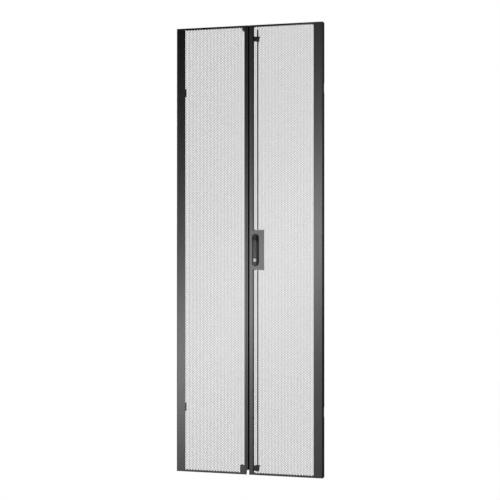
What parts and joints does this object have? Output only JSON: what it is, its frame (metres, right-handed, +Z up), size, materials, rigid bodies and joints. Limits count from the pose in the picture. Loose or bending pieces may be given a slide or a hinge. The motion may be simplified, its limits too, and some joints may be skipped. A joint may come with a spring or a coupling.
{
  "type": "perforated rack door",
  "caption": "Pair of tall perforated split doors for a server rack, with a swing handle, a two-rod latch and lift-off hinges.",
  "frame": {"origin": "middle of the pair's width and depth, at the bottom edge of the leaves", "axes": "+Z up, +X to the right when facing the doors, -Y out of the front face"},
  "size_m": [0.74, 0.06, 2.2],
  "materials": {
    "powder_black": "satin black powder coat",
    "zinc_steel": "zinc plated",
    "bright_steel": "bright drawn steel",
    "black_plastic": "moulded black nylon",
    "lever_graphite": "fine satin coat on die-cast zinc",
    "lock_chrome": "bright nickel",
    "rubber": "matt black rubber"
  },
  "bodies": {
    "rack_side": {"left_upper_bracket": "zinc_steel", "left_lower_bracket": "zinc_steel", "right_upper_bracket": "zinc_steel", "right_lower_bracket": "zinc_steel", "hinge_pins": "zinc_steel", "hinge_washers": "black_plastic"},
    "left_leaf": {"left_leaf_sheet": "powder_black", "left_edge_channel": "powder_black", "left_stiffener": "powder_black", "left_upper_knuckle": "black_plastic", "left_lower_knuckle": "black_plastic", "left_upper_corner_block": "black_plastic", "left_lower_corner_block": "black_plastic", "left_bumpers": "rubber", "left_earth_stud": "zinc_steel", "left_earth_nut": "zinc_steel"},
    "right_leaf": {"right_leaf_sheet": "powder_black", "lock_channel": "powder_black", "right_upper_knuckle": "black_plastic", "right_lower_knuckle": "black_plastic", "right_bumpers": "rubber", "right_earth_stud": "zinc_steel", "right_earth_nut": "zinc_steel", "handle_base": "black_plastic", "handle_screws": "zinc_steel", "handle_washers": "zinc_steel", "upper_rod_guide": "black_plastic", "lower_rod_guide": "black_plastic", "guide_screws": "zinc_steel"},
    "hub": {"handle_hub": "black_plastic", "lever_pin": "bright_steel", "cam": "zinc_steel", "cam_pins": "bright_steel", "cam_screw": "zinc_steel"},
    "lever": {"handle_lever": "lever_graphite", "lock_barrel": "lock_chrome"},
    "plug": {"lock_plug": "lock_chrome"},
    "upper_rod": {"upper_rod_fork": "zinc_steel", "upper_grub_screw": "bright_steel", "upper_rod": "bright_steel", "upper_rod_tip": "black_plastic"},
    "lower_rod": {"lower_rod_fork": "zinc_steel", "lower_grub_screw": "bright_steel", "lower_rod": "bright_steel", "lower_rod_tip": "black_plastic"}
  },
  "joints": [
    {"name": "left_leaf_swing", "type": "hinge", "parent": "rack_side", "child": "left_leaf", "pos_m": [-0.358, 0.013, 0.315], "axis": [0, 0, -1], "range_deg": [0, 105]},
    {"name": "right_leaf_swing", "type": "hinge", "parent": "rack_side", "child": "right_leaf", "pos_m": [0.358, 0.013, 0.315], "axis": [0, 0, 1], "range_deg": [0, 105]},
    {"name": "handle_turn", "type": "hinge", "parent": "right_leaf", "child": "hub", "pos_m": [0.035, 0, 1.158], "axis": [0, -1, 0], "range_deg": [0, 90]},
    {"name": "handle_lift", "type": "hinge", "parent": "hub", "child": "lever", "pos_m": [0.035, -0.02435, 1.144], "axis": [-1, 0, 0], "range_deg": [0, 35]},
    {"name": "key_turn", "type": "hinge", "parent": "lever", "child": "plug", "pos_m": [0.035, -0.025, 1.051], "axis": [0, -1, 0], "range_deg": [0, 90]},
    {"name": "upper_rod_slide", "type": "slide", "parent": "right_leaf", "child": "upper_rod", "axis": [0, 0, -1], "range_m": [0, 0.017]},
    {"name": "lower_rod_slide", "type": "slide", "parent": "right_leaf", "child": "lower_rod", "axis": [0, 0, 1], "range_m": [0, 0.017]}
  ],
  "couplings": [
    {"joint": "upper_rod_slide", "follows": "handle_turn", "m_per_rad": 0.0108},
    {"joint": "lower_rod_slide", "follows": "handle_turn", "m_per_rad": 0.0108}
  ]
}
